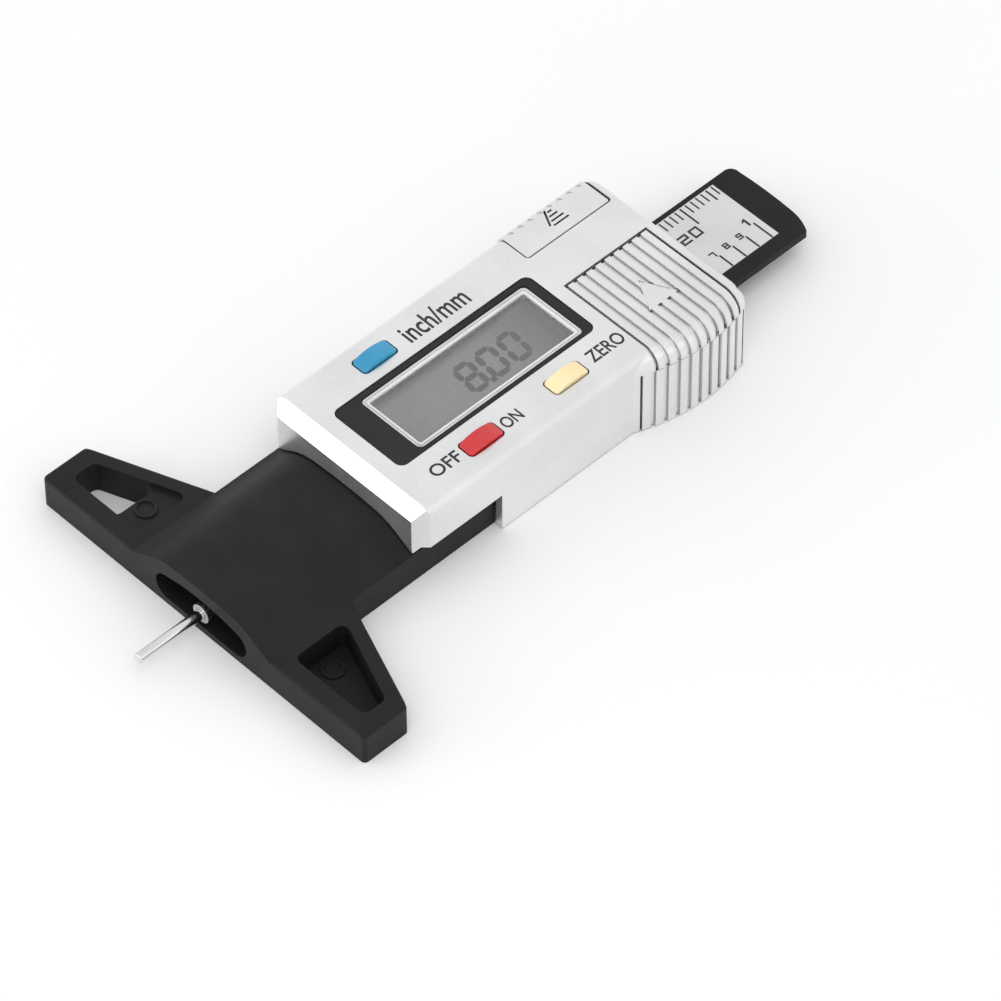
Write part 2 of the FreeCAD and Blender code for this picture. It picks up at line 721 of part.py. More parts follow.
def lcd_panel():
    lower = box(-6.3, 6.3, 33.4, 64.2, LCD_Z0, LCD_Z0 + 0.7)
    upper = box(-5.9, 5.9, 33.7, 63.9, LCD_Z0 + 0.7, LCD_Z1)
    return joined(lower, upper)


def lcd_holder():
    ring = box(-7.6, 7.6, 32.3, 65.3, BOARD_Z1, IN_TOP)
    return minus(ring, box(-6.35, 6.35, 33.35, 64.25, 0, BIG))


def lcd_reflector():
    return box(-4.4, 4.4, 34.0, 63.6, LCD_Z0 - 0.18, LCD_Z0)


def zebra_strips():
    y0, y1 = 35.0, 62.6
    strips = [box(x - 0.6, x + 0.6, y0, y1, BOARD_Z1, LCD_Z0) for x in (-5.2, 5.2)]
    return Part.makeCompound(strips)


# ---- electronics ----------------------------------------------------------------------------
def main_board():
    board = soft_box(-12.9, 12.9, 29.0, 66.0, BOARD_Z0, BOARD_Z1, 1.0)
    holes = [disc(x, y, 0, BIG, 0.7) for x, y in BOARD_SCREWS]
    return minus(board, *holes, *header_pins())


def board_screws():
    return Part.makeCompound([pan_screw(x, y, BOARD_Z0, 2.4, 1.3, 0.65, 0.5) for x, y in BOARD_SCREWS])


def controller_chip():
    blob = disc(0, 49.0, BOARD_Z1, BOARD_Z1 + 0.7, 3.6)
    return rounded(blob, 0.45, at_height(BOARD_Z1 + 0.7))


def key_domes():
    domes = []
    for x, y in KEYS.values():
        radius, half = 5.1, 3.0
        ball = Part.makeSphere(radius, V(x, y, BOARD_Z1 + DOME_H - radius))
        domes.append(ball.common(box(x - half, x + half, y - half, y + half, BOARD_Z1, BIG)))
    return Part.makeCompound(domes)


def sensor_board():
    return box(-9.6, 9.6, FLOOR_FRONT + 0.7, REAR - 2.2, SENSE_Z0, SENSE_Z1)


def header_pins():
    return [disc(x, HEADER_Y, BOARD_Z0, BOARD_Z1 + 0.5, HEADER_R) for x in HEADER_X]


def board_header():
    """A pin strip that carries the sensor board's signals up to the main board."""
    strip = box(-6.4, 6.4, HEADER_Y - 0.8, HEADER_Y + 0.8, SENSE_Z1, BOARD_Z0)
    return joined(strip, *header_pins())


# ---- battery --------------------------------------------------------------------------------
def battery_tray():
    """A flanged cup for the cell, with slots for both contact strips."""
    ledge = 0.65
    flange = box(BAY_X0 - 1.1, IN_HALF - 0.1, BAY_Y0 - ledge, BAY_Y1 + ledge, 11.75, IN_TOP)
    cup = disc(CELL_X, CELL_Y, TRAY_FLOOR, IN_TOP, TRAY_R)
    cup = cup.common(box(-BIG, IN_HALF - 0.1, 0, BIG, 0, BIG))
    well = disc(CELL_X, CELL_Y, CELL_Z - CONTACT_T, BIG, CELL_R + CELL_ROOM)
    lower_leg = box(CELL_X - 1.1, CELL_X + 1.1, CELL_Y - 0.15, CELL_Y + 0.15, 0, CELL_Z)
    y = CELL_Y - CELL_R - CELL_ROOM
    side_slot = box(CELL_X - 2.05, CELL_X + 2.05, y - 0.35, y + 0.6, 0, 11.5)
    return minus(joined(flange, cup), well, lower_leg, side_slot)


def contact_minus():
    plate = disc(CELL_X, CELL_Y, CELL_Z - CONTACT_T, CELL_Z, 3.4)
    leg = box(CELL_X - 1.0, CELL_X + 1.0, CELL_Y - 0.1, CELL_Y + 0.1, SENSE_Z1, CELL_Z - CONTACT_T)
    return joined(plate, leg)


def contact_plus():
    y = CELL_Y - CELL_R - CELL_ROOM
    plate = box(CELL_X - 2.0, CELL_X + 2.0, y - 0.3, y - 0.1, SENSE_Z1, 11.4)
    foot = box(CELL_X - 2.0, CELL_X + 2.0, y - 1.3, y - 0.3, SENSE_Z1, SENSE_Z1 + 0.2)
    return joined(plate, foot)


def button_cell():
    can = disc(CELL_X, CELL_Y, CELL_Z + 0.3, CELL_Z + CELL_H, CELL_R)
    can = rounded(can, 0.5, at_height(CELL_Z + CELL_H))
    return joined(can, disc(CELL_X, CELL_Y, CELL_Z, CELL_Z + 0.3, CELL_R - 0.7))


def battery_cover():
    shell = bay_space(0.0)
    roof = box(-2, HALF - 1.5, BAY_Y0 - 1, BAY_Y1 + 1, 0, TOP - GROOVE_DEEP)
    core = joined(bulge(GROOVE_DEEP), roof)
    slabs = rib_slabs(BAY_Y0, BAY_Y1, RIB_PITCH, -BIG, BIG)
    ribbed = joined(shell.common(core), *[shell.common(slab) for slab in slabs])
    pad = prism(PAD, TOP - 0.6, TOP - PAD_DROP)
    hollow = prism(PAD, TOP - PAD_DROP, TOP + 1)
    return minus(joined(ribbed, pad), hollow)


# ---- keys -----------------------------------------------------------------------------------
def key(name):
    """A cap arched along its length, a wider foot that the roof holds, and a plunger."""
    x, y = KEYS[name]
    foot_top = IN_TOP - 0.1
    foot_low = IN_TOP - 0.7
    centre = V(x - KEY_W, y, KEY_TOP - KEY_ARCH_R)
    arch_bar = Part.makeCylinder(KEY_ARCH_R, 2 * KEY_W, centre, V(1, 0, 0))
    cap = key_form(name, 0.0, foot_top, KEY_TOP).common(arch_bar)
    cap = rounded(cap, KEY_EDGE, lambda e: e.BoundBox.ZMin > TOP and e.BoundBox.ZMax > TOP + 0.05)
    foot = key_form(name, 0.55, foot_low, foot_top)
    plunger = disc(x, y, BOARD_Z1 + DOME_H + KEY_TRAVEL + 0.08, foot_low, 0.9)
    return joined(cap, foot, plunger)


# ---- export ---------------------------------------------------------------------------------
PIECES = {
    "base_beam": base_beam,
    "stator_strip": stator_strip,
    "scale_label": scale_label,
    "probe_bush": probe_bush,
    "end_stop": end_stop,
    "end_stop_screws": end_stop_screws,
    "front_cover": front_cover,
    "back_cover": back_cover,
    "back_cover_screws": back_cover_screws,
    "slide_shoes": slide_shoes,
    "gib_spring": gib_spring,
    "probe_pin": probe_pin,
    "probe_clamp": probe_clamp,
    "probe_screw": probe_screw,
    "display_frame": display_frame,
    "display_bezel": display_bezel,
    "display_window": display_window,
    "lcd_panel": lcd_panel,
    "lcd_holder": lcd_holder,
    "lcd_reflector": lcd_reflector,
    "zebra_strips": zebra_strips,
    "main_board": main_board,
    "board_screws": board_screws,
    "controller_chip": controller_chip,
    "key_domes": key_domes,
    "sensor_board": sensor_board,
    "board_header": board_header,
    "battery_tray": battery_tray,
    "contact_minus": contact_minus,
    "contact_plus": contact_plus,
    "button_cell": button_cell,
    "battery_cover": battery_cover,
    "unit_key": lambda: key("unit_key"),
    "power_key": lambda: key("power_key"),
    "zero_key": lambda: key("zero_key"),
}


def main():
    os.makedirs("parts", exist_ok=True)
    for name, make in PIECES.items():
        shape = make()
        shape.translate(V(0, -MID_Y, 0))
        print(name, "valid", shape.isValid(), "solids", len(shape.Solids), "volume", round(shape.Volume, 1))
        shape.exportStep("parts/" + name + ".step")


main()
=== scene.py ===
import json
import math

import bmesh
import bpy
from mathutils import Matrix, Vector


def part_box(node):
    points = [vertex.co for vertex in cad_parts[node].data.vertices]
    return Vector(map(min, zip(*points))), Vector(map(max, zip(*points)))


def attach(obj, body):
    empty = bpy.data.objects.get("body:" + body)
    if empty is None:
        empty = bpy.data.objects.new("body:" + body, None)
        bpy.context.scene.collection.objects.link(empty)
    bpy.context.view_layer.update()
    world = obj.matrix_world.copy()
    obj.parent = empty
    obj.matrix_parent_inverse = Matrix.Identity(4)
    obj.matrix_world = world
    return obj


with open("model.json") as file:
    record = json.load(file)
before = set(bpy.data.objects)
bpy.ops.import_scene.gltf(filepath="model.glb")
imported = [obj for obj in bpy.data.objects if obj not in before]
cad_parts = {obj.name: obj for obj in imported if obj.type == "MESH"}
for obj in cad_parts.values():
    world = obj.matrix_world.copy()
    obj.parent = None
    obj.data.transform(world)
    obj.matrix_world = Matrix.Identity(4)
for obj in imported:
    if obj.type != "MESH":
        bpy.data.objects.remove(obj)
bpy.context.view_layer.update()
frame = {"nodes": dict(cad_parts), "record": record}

# Looks of the tire tread gauge. Lengths are metres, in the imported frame: +Y runs from the T-shaped
# base to the beam's far end, +X is the battery side and z = 0 is the surface that the gauge lies on.

MM = 0.001

# ---- camera ---------------------------------------------------------------------------------
AZIMUTH = math.radians(46.489)
ELEVATION = math.radians(48.881)
ROLL = math.radians(-0.508)
DISTANCE = 0.90725
TARGET = Vector((0.01081, -0.003732, 0.0))
SENSOR = 36.0
LENS = 246.85
NEAREST, FARTHEST = 0.02, 20.0


def add_camera():
    """The camera at the photo's viewing angle."""
    back = Vector((
        math.sin(AZIMUTH) * math.cos(ELEVATION),
        -math.cos(AZIMUTH) * math.cos(ELEVATION),
        math.sin(ELEVATION),
    ))
    right = Vector((math.cos(AZIMUTH), math.sin(AZIMUTH), 0.0))
    up = back.cross(right)
    rolled_right = right * math.cos(ROLL) + up * math.sin(ROLL)
    rolled_up = up * math.cos(ROLL) - right * math.sin(ROLL)
    data = bpy.data.cameras.new("camera")
    data.sensor_width = SENSOR
    data.lens = LENS
    data.clip_start = NEAREST
    data.clip_end = FARTHEST
    camera = bpy.data.objects.new("camera", data)
    turn = Matrix((rolled_right, rolled_up, back)).transposed().to_4x4()
    camera.matrix_world = Matrix.Translation(TARGET + DISTANCE * back) @ turn
    bpy.context.scene.collection.objects.link(camera)
    bpy.context.scene.camera = camera


# ---- node graphs ----------------------------------------------------------------------------
EVEN = (1.0, 1.0, 1.0)
FLAT = (1.0, 1.0, 0.0)
ALONG_Y = (1.0, 0.04, 1.0)
ALONG_Z = (1.0, 1.0, 0.04)


class Graph:
    """One material, with short ways to add and join its nodes."""

    def __init__(self, name):
        self.material = bpy.data.materials.new(name)
        self.material.use_nodes = True
        self.tree = self.material.node_tree
        self.shader = self.tree.nodes["Principled BSDF"]
        self.place = self.add("ShaderNodeTexCoord").outputs["Object"]

    def add(self, kind, **settings):
        node = self.tree.nodes.new(kind)
        for key, value in settings.items():
            setattr(node, key, value)
        return node

    def join(self, source, target):
        self.tree.links.new(source, target)

    def stretched(self, stretch):
        """Object coordinates, scaled by stretch on each axis."""
        node = self.add("ShaderNodeMapping")
        self.join(self.place, node.inputs["Vector"])
        node.inputs["Scale"].default_value = stretch
        return node.outputs["Vector"]

    def noise(self, per_metre, detail=2.0, rough=0.5, stretch=EVEN):
        """Noise with per_metre lumps to the metre, drawn out along an axis whose stretch is small."""
        node = self.add("ShaderNodeTexNoise")
        self.join(self.stretched(stretch), node.inputs["Vector"])
        node.inputs["Scale"].default_value = per_metre
        node.inputs["Detail"].default_value = detail
        node.inputs["Roughness"].default_value = rough
        return node.outputs["Fac"]

    def cells(self, per_metre):
        """Three random shares for each small cell."""
        node = self.add("ShaderNodeTexVoronoi")
        self.join(self.place, node.inputs["Vector"])
        node.inputs["Scale"].default_value = per_metre
        split = self.add("ShaderNodeSeparateColor")
        self.join(node.outputs["Color"], split.inputs["Color"])
        return split.outputs[0], split.outputs[1], split.outputs[2]

    def between(self, value, low, high, start=0.3, end=0.7):
        """Maps value from start..end to low..high."""
        node = self.add("ShaderNodeMapRange")
        self.join(value, node.inputs["Value"])
        for key, number in (("From Min", start), ("From Max", end), ("To Min", low), ("To Max", high)):
            node.inputs[key].default_value = number
        return node.outputs["Result"]

    def axis(self, index):
        """The x, y or z coordinate, by index."""
        node = self.add("ShaderNodeSeparateXYZ")
        self.join(self.place, node.inputs["Vector"])
        return node.outputs[index]

    def maths(self, operation, a, b):
        """One operation on a and b, each a number or a socket."""
        node = self.add("ShaderNodeMath", operation=operation)
        for socket, value in zip(node.inputs, (a, b)):
            if isinstance(value, float):
                socket.default_value = value
            else:
                self.join(value, socket)
        return node.outputs["Value"]

    def added(self, value, share, base):
        """value times share, on top of base."""
        total = self.maths("MULTIPLY_ADD", value, share)
        self.join(base, total.node.inputs[2])
        return total

    def vectors(self, operation, a, b=None):
        """One operation on the socket a and the fixed vector b."""
        node = self.add("ShaderNodeVectorMath", operation=operation)
        self.join(a, node.inputs[0])
        if b is not None:
            node.inputs[1].default_value = b
        return node.outputs["Value" if operation == "LENGTH" else "Vector"]

    def blend(self, share, a, b):
        """A colour between a and b, each a colour or a socket."""
        node = self.add("ShaderNodeMix", data_type="RGBA")
        self.join(share, node.inputs[0])
        for socket, colour in ((node.inputs[6], a), (node.inputs[7], b)):
            if isinstance(colour, tuple):
                socket.default_value = (*colour, 1.0)
            else:
                self.join(colour, socket)
        return node.outputs[2]

    def soft_edges(self, radius):
        """A normal that makes every sharp edge catch the light as if it were rounded by radius."""
        node = self.add("ShaderNodeBevel", samples=4)
        node.inputs["Radius"].default_value = radius
        return node.outputs["Normal"]

    def recess(self, reach):
        """How closed-in a point is by surfaces within reach: 0 on an open face, 1 deep in a groove."""
        node = self.add("ShaderNodeAmbientOcclusion", samples=6)
        node.inputs["Distance"].default_value = reach
        return self.maths("SUBTRACT", 1.0, node.outputs["AO"])

    def bump(self, height, depth, normal=None):
        """A normal with relief of the given depth, on top of another normal."""
        node = self.add("ShaderNodeBump")
        node.inputs["Strength"].default_value = 1.0
        node.inputs["Distance"].default_value = depth
        self.join(height, node.inputs["Height"])
        if normal is not None:
            self.join(normal, node.inputs["Normal"])
        return node.outputs["Normal"]

    def set(self, **values):
        """Sets or joins sockets of the Principled shader by name, with _ for a space."""
        for key, value in values.items():
            socket = self.shader.inputs[key.replace("_", " ")]
            if isinstance(value, bpy.types.NodeSocket):
                self.join(value, socket)
            else:
                socket.default_value = (*value, 1.0) if isinstance(value, tuple) else value


# ---- materials ------------------------------------------------------------------------------
# How soft the edges of each finish look.
MOULD_EDGE = 0.12 * MM
PAINT_EDGE = 0.09 * MM
METAL_EDGE = 0.06 * MM
TURNED_EDGE = 0.1 * MM
FLAKES_PER_METRE = 14000.0
RINGS_PER_METRE = 9000.0
SILVER_DARK = (0.76, 0.76, 0.77)
SILVER_LIGHT = (0.86, 0.86, 0.87)
SILVER_METALLIC = 0.9
# Painted shade in grooves and recesses: its colour, its metallic, and how far the occlusion that sets it
# reaches.
GROOVE_SHADE = (0.06, 0.06, 0.065)
GROOVE_SHADE_METALLIC = 0.2
GROOVE_REACH = 0.5 * MM
LCD_LIGHT = (0.305, 0.305, 0.31)
LCD_DARK = (0.155, 0.155, 0.16)
LABEL_DARK = (0.62, 0.62, 0.63)
LABEL_LIGHT = (0.74, 0.74, 0.75)
MASK_DARK = (0.008, 0.075, 0.03)
MASK_LIGHT = (0.014, 0.115, 0.05)
COPPER_RUN = (0.06, 0.22, 0.08)
FLOOR_LIGHT = (0.90, 0.90, 0.905)
FLOOR_WHITE = (0.93, 0.93, 0.935)


def moulded(name, dark, light, gloss, grain_depth, specular=0.5, coat=0.0):
    """Moulded plastic: mottled tone, uneven gloss, fine spark-eroded grain and slightly soft edges."""
    g = Graph(name)
    mottle = g.noise(140.0, 4.0, 0.6)
    fine = g.noise(2400.0, 2.0)
    grain = g.noise(9000.0, 3.0, 0.65)
    tone = g.added(fine, 0.3, mottle)
    flow = g.noise(60.0, 2.0, 0.5, (1.0, 0.35, 1.0))
    g.set(
        Base_Color=g.blend(g.between(tone, 0.0, 1.0, 0.45, 0.85), dark, light),
        Roughness=g.between(g.maths("ADD", flow, g.between(grain, -0.06, 0.06)), *gloss),
        Normal=g.bump(grain, grain_depth, g.soft_edges(MOULD_EDGE)),
        Specular_IOR_Level=specular,
        Coat_Weight=coat,
        Coat_Roughness=0.12,
    )
    return g.material


def painted(name):
    """Silver paint: bright flakes under satin lacquer with a faint orange peel; painted shade darkens the
    grooves and recesses.
    """
    g = Graph(name)
    flake_tone, flake_lift, flake_gloss = g.cells(FLAKES_PER_METRE)
    cloud = g.noise(90.0, 3.0)
    peel = g.noise(1500.0, 2.0)
    tone = g.maths("ADD", g.between(flake_tone, -0.22, 0.22, 0.0, 1.0), cloud)
    gloss = g.maths("ADD", cloud, g.between(flake_gloss, -0.1, 0.1, 0.0, 1.0))
    height = g.added(flake_lift, 0.25, peel)
    # Painted shade: ambient occlusion darkens the colour and lowers the metallic wherever the surface is
    # closed in, as in the grooves.
    groove_shade = g.between(g.recess(GROOVE_REACH), 0.0, 1.0, 0.3, 0.62)
    unshaded = g.blend(g.between(tone, 0.0, 1.0), SILVER_DARK, SILVER_LIGHT)
    g.set(
        Base_Color=g.blend(groove_shade, unshaded, GROOVE_SHADE),
        Metallic=g.between(groove_shade, SILVER_METALLIC, GROOVE_SHADE_METALLIC, 0.0, 1.0),
        Roughness=g.between(gloss, 0.3, 0.4),
        Normal=g.bump(height, 0.0035 * MM, g.soft_edges(PAINT_EDGE)),
        Coat_Weight=0.25,
        Coat_Roughness=0.22,
    )
    return g.material


def metal(name, dark, light, gloss, stretch, lines=2500.0, depth=0.004 * MM):
    """Bright metal with fine tool lines along the axis whose stretch is small."""
    g = Graph(name)
    tool = g.noise(lines, 3.0, 0.6, stretch)
    stain = g.noise(220.0, 3.0)
    tone = g.maths("MULTIPLY", g.maths("ADD", tool, stain), 0.5)
    g.set(
        Base_Color=g.blend(g.between(tone, 0.0, 1.0), dark, light),
        Metallic=1.0,
        Roughness=g.between(tool, *gloss),
        Normal=g.bump(tool, depth, g.soft_edges(METAL_EDGE)),
    )
    return g.material


def turned(name, node, dark, light, gloss):
    """A round metal face with rings about the middle of a CAD node."""
    low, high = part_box(node)
    g = Graph(name)
    from_middle = g.vectors("SUBTRACT", g.place, 0.5 * (low + high))
    radius = g.vectors("LENGTH", g.vectors("MULTIPLY", from_middle, FLAT))
    ring = g.add("ShaderNodeTexNoise", noise_dimensions="1D")
    g.join(g.maths("MULTIPLY", radius, RINGS_PER_METRE), ring.inputs["W"])
    ring.inputs["Detail"].default_value = 3.0
    g.set(
        Base_Color=g.blend(g.between(g.noise(300.0, 3.0), 0.0, 1.0), dark, light),
        Metallic=1.0,
        Roughness=g.between(ring.outputs["Fac"], *gloss),
        Normal=g.bump(ring.outputs["Fac"], 0.003 * MM, g.soft_edges(TURNED_EDGE)),
    )
    return g.material


def circuit(name):
    """Green solder mask over copper runs, which show as lighter, slightly raised lines."""
    g = Graph(name)
    runs = g.add("ShaderNodeTexBrick")
    g.join(g.place, runs.inputs["Vector"])
    runs.inputs["Scale"].default_value = 260.0
    runs.inputs["Mortar Size"].default_value = 0.035
    runs.inputs["Mortar Smooth"].default_value = 0.3
    copper = runs.outputs["Fac"]
    weave = g.noise(1600.0, 3.0, 0.6)
    mask = g.blend(g.between(weave, 0.0, 1.0), MASK_DARK, MASK_LIGHT)
    g.set(
        Base_Color=g.blend(copper, mask, COPPER_RUN),
        Roughness=g.between(weave, 0.22, 0.4),
        Normal=g.bump(copper, 0.02 * MM),
    )
    return g.material


def liquid_crystal(name):
    """The display's grey polariser, with painted shade toward the far end and along the left edge, where the
    rim shades it.
    """
    low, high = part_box("display_window")
    g = Graph(name)
    # Painted shade: darker toward the far end and along the left edge, with a random cloud in tone on top.
    far = g.between(g.axis(1), 0.0, 0.75, high.y - 9.0 * MM, high.y - 1.0 * MM)
    left = g.between(g.axis(0), 1.0, 0.0, low.x, low.x + 1.6 * MM)
    cloud = g.noise(150.0, 3.0)
    fine = g.noise(5200.0)
    share = g.maths("ADD", g.maths("MAXIMUM", far, left), g.between(cloud, -0.1, 0.1))
    g.set(
        Base_Color=g.blend(share, LCD_LIGHT, LCD_DARK),
        Roughness=g.between(fine, 0.2, 0.34),
        Specular_IOR_Level=0.3,
        Normal=g.bump(fine, 0.001 * MM),
    )
    return g.material


def label_face(name):
    """The scale label: satin silver film, drawn lengthwise."""
    g = Graph(name)
    drawn = g.noise(5200.0, 3.0, 0.6, (1.0, 0.03, 1.0))
    cloud = g.noise(160.0, 3.0)
    tone = g.maths("MULTIPLY", g.maths("ADD", drawn, cloud), 0.5)
    g.set(
        Base_Color=g.blend(g.between(tone, 0.0, 1.0), LABEL_DARK, LABEL_LIGHT),
        Metallic=0.35,
        Roughness=g.between(drawn, 0.32, 0.5),
        Normal=g.bump(drawn, 0.002 * MM),
    )
    return g.material


def clear_window(name):
    """Clear plastic that lets lamps through to what is under it, with a few faint wipe marks."""
    g = Graph(name)
    wipe = g.noise(900.0, 4.0, 0.6, (1.0, 0.15, 1.0))
    g.set(
        Base_Color=(0.93, 0.94, 0.94),
        Transmission_Weight=1.0,
        IOR=1.49,
        Roughness=g.between(wipe, 0.0, 0.035),
    )
    open_to_light = g.add("ShaderNodeBsdfTransparent")
    open_to_light.inputs["Color"].default_value = (0.95, 0.955, 0.955, 1.0)
    mix = g.add("ShaderNodeMixShader")
    ray = g.add("ShaderNodeLightPath").outputs["Is Shadow Ray"]
    g.join(ray, mix.inputs["Fac"])
    g.join(g.shader.outputs["BSDF"], mix.inputs[1])
    g.join(open_to_light.outputs["BSDF"], mix.inputs[2])
    output = next(n for n in g.tree.nodes if n.type == "OUTPUT_MATERIAL")
    g.join(mix.outputs["Shader"], output.inputs["Surface"])
    return g.material


def ink(name, colour, thin):
    """Printed ink, a little thin in places."""
    g = Graph(name)
    g.set(
        Base_Color=g.blend(g.between(g.noise(3500.0, 3.0, 0.7), 0.0, 0.35, 0.45, 0.8), colour, thin),
        Roughness=g.between(g.noise(6000.0, 2.0), 0.45, 0.65),
        Normal=g.bump(g.noise(9000.0, 2.0), 0.002 * MM),
    )
    return g.material


def floor_face(name):
    """Matt white board, very slightly uneven."""
    g = Graph(name)
    g.set(
        Base_Color=g.blend(g.between(g.noise(6.0, 3.0), 0.0, 1.0), FLOOR_LIGHT, FLOOR_WHITE),
        Roughness=g.between(g.noise(40.0, 2.0), 0.85, 0.95),
        Specular_IOR_Level=0.1,
    )
    return g.material


# Each slot's darkest and lightest tone, gloss range, grain depth in mm and other settings.
MOULDED = {
    "black_abs": (
        (0.0085, 0.0085, 0.0095), (0.0135, 0.0135, 0.0145), (0.42, 0.56), 0.012, {"specular": 0.21}
    ),
    "frame_black": ((0.010, 0.010, 0.011), (0.016, 0.016, 0.017), (0.3, 0.42), 0.005, {"specular": 0.3}),
    "bezel_grey": ((0.72, 0.73, 0.74), (0.82, 0.83, 0.84), (0.25, 0.36), 0.003, {}),
    "reflector": ((0.70, 0.70, 0.68), (0.80, 0.80, 0.78), (0.5, 0.6), 0.003, {}),
    "acetal": ((0.72, 0.72, 0.69), (0.82, 0.82, 0.79), (0.38, 0.5), 0.004, {}),
    "elastomer": ((0.05, 0.055, 0.065), (0.10, 0.105, 0.12), (0.6, 0.75), 0.01, {}),
    "epoxy_black": ((0.008, 0.008, 0.008), (0.016, 0.016, 0.016), (0.25, 0.45), 0.012, {}),
    "key_blue": ((0.016, 0.25, 0.46), (0.028, 0.32, 0.56), (0.2, 0.32), 0.003, {"coat": 0.3}),
    "key_red": ((0.55, 0.014, 0.018), (0.65, 0.028, 0.032), (0.2, 0.32), 0.003, {"coat": 0.3}),
    "key_yellow": ((0.93, 0.77, 0.43), (0.96, 0.83, 0.51), (0.2, 0.32), 0.003, {"coat": 0.3}),
}
# Each slot's darkest and lightest tone, gloss range, direction of its tool lines and other settings.
METALS = {
    "steel": ((0.46, 0.46, 0.47), (0.62, 0.62, 0.63), (0.22, 0.4), ALONG_Y, {}),
    "spring_steel": ((0.55, 0.55, 0.56), (0.7, 0.7, 0.71), (0.16, 0.3), ALONG_Y, {}),
    "probe_chrome": (
        (0.68, 0.68, 0.69), (0.82, 0.82, 0.83), (0.1, 0.2), ALONG_Y, {"lines": 4200.0, "depth": 0.002 * MM}
    ),
    "brass": ((0.62, 0.42, 0.16), (0.78, 0.57, 0.26), (0.2, 0.36), ALONG_Y, {}),
    "contact_nickel": ((0.6, 0.58, 0.53), (0.74, 0.72, 0.67), (0.16, 0.3), ALONG_Z, {}),
}
MATERIALS = {
    "silver_shell": painted("silver_shell"),
    "window_clear": clear_window("window_clear"),
    "lcd_grey": liquid_crystal("lcd_grey"),
    "label_silver": label_face("label_silver"),
    "board_green": circuit("board_green"),
    "cell_steel": turned("cell_steel", "button_cell", (0.58, 0.58, 0.58), (0.74, 0.74, 0.73), (0.18, 0.34)),
}
for slot_name, (darkest, lightest, gloss_range, grain_mm, settings) in MOULDED.items():
    MATERIALS[slot_name] = moulded(slot_name, darkest, lightest, gloss_range, grain_mm * MM, **settings)
for slot_name, (darkest, lightest, gloss_range, direction, settings) in METALS.items():
    MATERIALS[slot_name] = metal(slot_name, darkest, lightest, gloss_range, direction, **settings)
INK = ink("print_ink", (0.018, 0.018, 0.02), (0.06, 0.06, 0.065))
SEGMENT = ink("lcd_segment", (0.12, 0.12, 0.123), (0.15, 0.15, 0.153))


def dress_nodes():
    """Every CAD node takes the material of its slot in the record."""
    for part in frame["record"]["subparts"]:
        for slot in frame["nodes"][part["node"]].material_slots:
            slot.material = MATERIALS[part["material_slot"]]


# ---- printed marks --------------------------------------------------------------------------
INK_UP = 0.012 * MM  # how far a mark stands above its surface
INK_DOWN = 0.004 * MM  # and how far it is sunk in
LETTER_BOLD = 0.014
SAME_POINT = 1e-5


def add_piece(name, shape, material, body):
    """A finished bmesh becomes a piece that rides on a body."""
    bmesh.ops.recalc_face_normals(shape, faces=shape.faces)
    data = bpy.data.meshes.new(name)
    shape.to_mesh(data)
    shape.free()
    data.materials.append(material)
    piece = bpy.data.objects.new(name, data)
    bpy.context.scene.collection.objects.link(piece)
    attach(piece, body)


def add_mark(shape, outline, z):
    """A flat printed mark on the surface at z, given as (x, y) corners in order."""
    low = [shape.verts.new((x, y, z - INK_DOWN)) for x, y in outline]
    high = [shape.verts.new((x, y, z + INK_UP)) for x, y in outline]
    count = len(outline)
    shape.faces.new(reversed(low))
    shape.faces.new(high)
    for i in range(count):
        j = (i + 1) % count
        shape.faces.new((low[i], low[j], high[j], high[i]))


def add_box_mark(shape, x0, x1, y0, y1, z):
    """A printed rectangle on the surface at z."""
    add_mark(shape, [(x0, y0), (x1, y0), (x1, y1), (x0, y1)], z)


def lettering(name, text, x, y, z, length, height):
    """Plain text as a mesh, read along +Y with its top toward -X, fitted to length by height."""
    data = bpy.data.curves.new(name, "FONT")
    data.body = text
    data.size = 1.0
    data.offset = LETTER_BOLD
    data.resolution_u = 6
    source = bpy.data.objects.new(name, data)
    bpy.context.scene.collection.objects.link(source)
    bpy.context.view_layer.update()
    flat = bpy.data.meshes.new_from_object(source)
    bpy.data.objects.remove(source)
    shape = bmesh.new()
    shape.from_mesh(flat)
    bmesh.ops.remove_doubles(shape, verts=shape.verts, dist=SAME_POINT)
    xs = [v.co.x for v in shape.verts]
    ys = [v.co.y for v in shape.verts]
    wide, tall = max(xs) - min(xs), max(ys) - min(ys)
    for v in shape.verts:
        along = (v.co.x - min(xs)) / wide - 0.5
        across = (v.co.y - min(ys)) / tall - 0.5
        v.co = (x - across * height, y + along * length, z + INK_UP)
    extruded = bmesh.ops.extrude_face_region(shape, geom=shape.faces[:])["geom"]
    for item in extruded:
        if isinstance(item, bmesh.types.BMVert):
            item.co.z = z - INK_DOWN
    return shape


# ---- scale ----------------------------------------------------------------------------------
SCALE_ZERO = 27.25 * MM
INCH = 25.4 * MM
MM_TICKS = 27
INCH_TICKS = 11
STROKE = 0.3 * MM
FINE_STROKE = 0.26 * MM
LEFT_MARGIN, RIGHT_MARGIN = 0.15 * MM, 0.04 * MM
# How far the ticks reach in from their edge.
TEN_REACH, FIVE_REACH, ONE_REACH = 3.75 * MM, 2.35 * MM, 1.8 * MM
INCH_REACH, TENTH_REACH = 3.65 * MM, 2.6 * MM
# Each kind of figure's width along Y, height across and stroke.
MM_FIGURE = (1.6 * MM, 1.8 * MM, 0.33 * MM)
INCH_FIGURE = (0.9 * MM, 1.1 * MM, 0.24 * MM)
ONE_FIGURE = (0.36 * MM, 1.5 * MM, 0.36 * MM)
